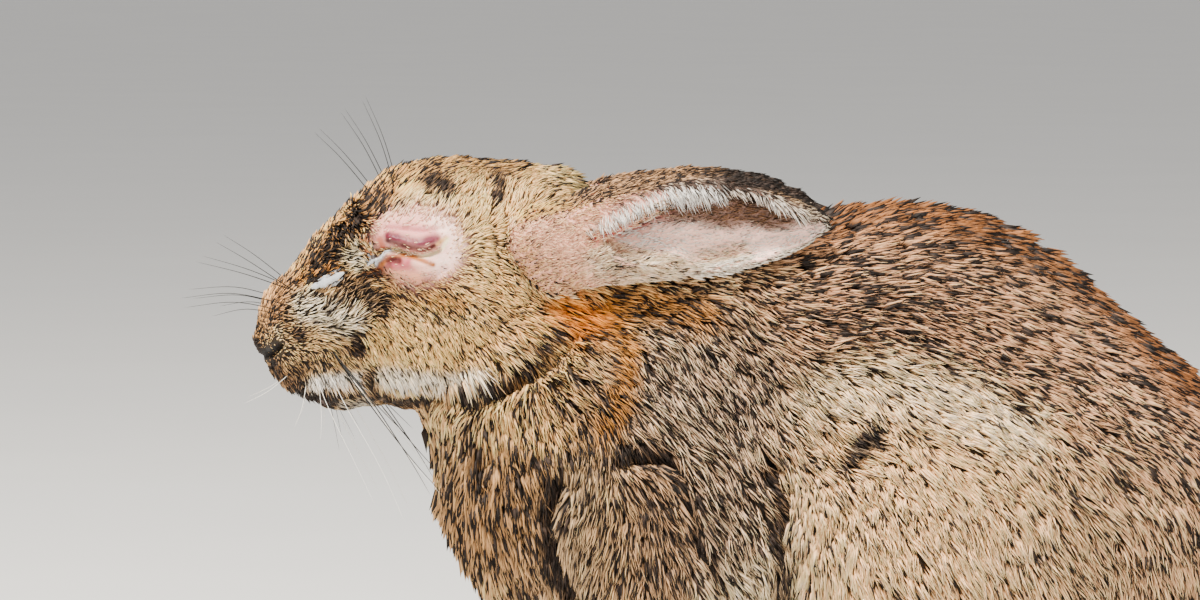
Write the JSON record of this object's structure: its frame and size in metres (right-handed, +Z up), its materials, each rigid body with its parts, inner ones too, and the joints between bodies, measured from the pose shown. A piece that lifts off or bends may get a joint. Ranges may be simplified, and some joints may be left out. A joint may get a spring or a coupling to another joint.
{
  "type": "rabbit",
  "caption": "Life-size still model of a wild European rabbit sitting hunched, with its ears laid back and its swollen eyelids nearly shut.",
  "frame": {"origin": "on the floor, below the centre of the whole model's box", "axes": "+Z up; the rabbit faces -Y and its left side faces +X"},
  "size_m": [0.122, 0.2632, 0.1686],
  "materials": {
    "coat": "grizzled brown, cream and black fur, rufous on the nape, pale on the thigh and white under the chin and tail",
    "ear": "pink-white skin with fine white hair inside, short brown fur with a black rim outside",
    "eye": "wet dark brown",
    "claw": "dark horn"
  },
  "bodies": {
    "root": {"head": "coat", "neck": "coat", "trunk": "coat", "tail": "coat", "eye_left": "eye", "ear_left": "ear", "foreleg_left": "coat", "forepaw_left": "coat", "thigh_left": "coat", "hindfoot_left": "coat", "claw_fore_left_1": "claw", "claw_fore_left_2": "claw", "claw_fore_left_3": "claw", "claw_fore_left_4": "claw", "claw_hind_left_1": "claw", "claw_hind_left_2": "claw", "claw_hind_left_3": "claw", "claw_hind_left_4": "claw", "eye_right": "eye", "ear_right": "ear", "foreleg_right": "coat", "forepaw_right": "coat", "thigh_right": "coat", "hindfoot_right": "coat", "claw_fore_right_1": "claw", "claw_fore_right_2": "claw", "claw_fore_right_3": "claw", "claw_fore_right_4": "claw", "claw_hind_right_1": "claw", "claw_hind_right_2": "claw", "claw_hind_right_3": "claw", "claw_hind_right_4": "claw"}
  },
  "joints": []
}
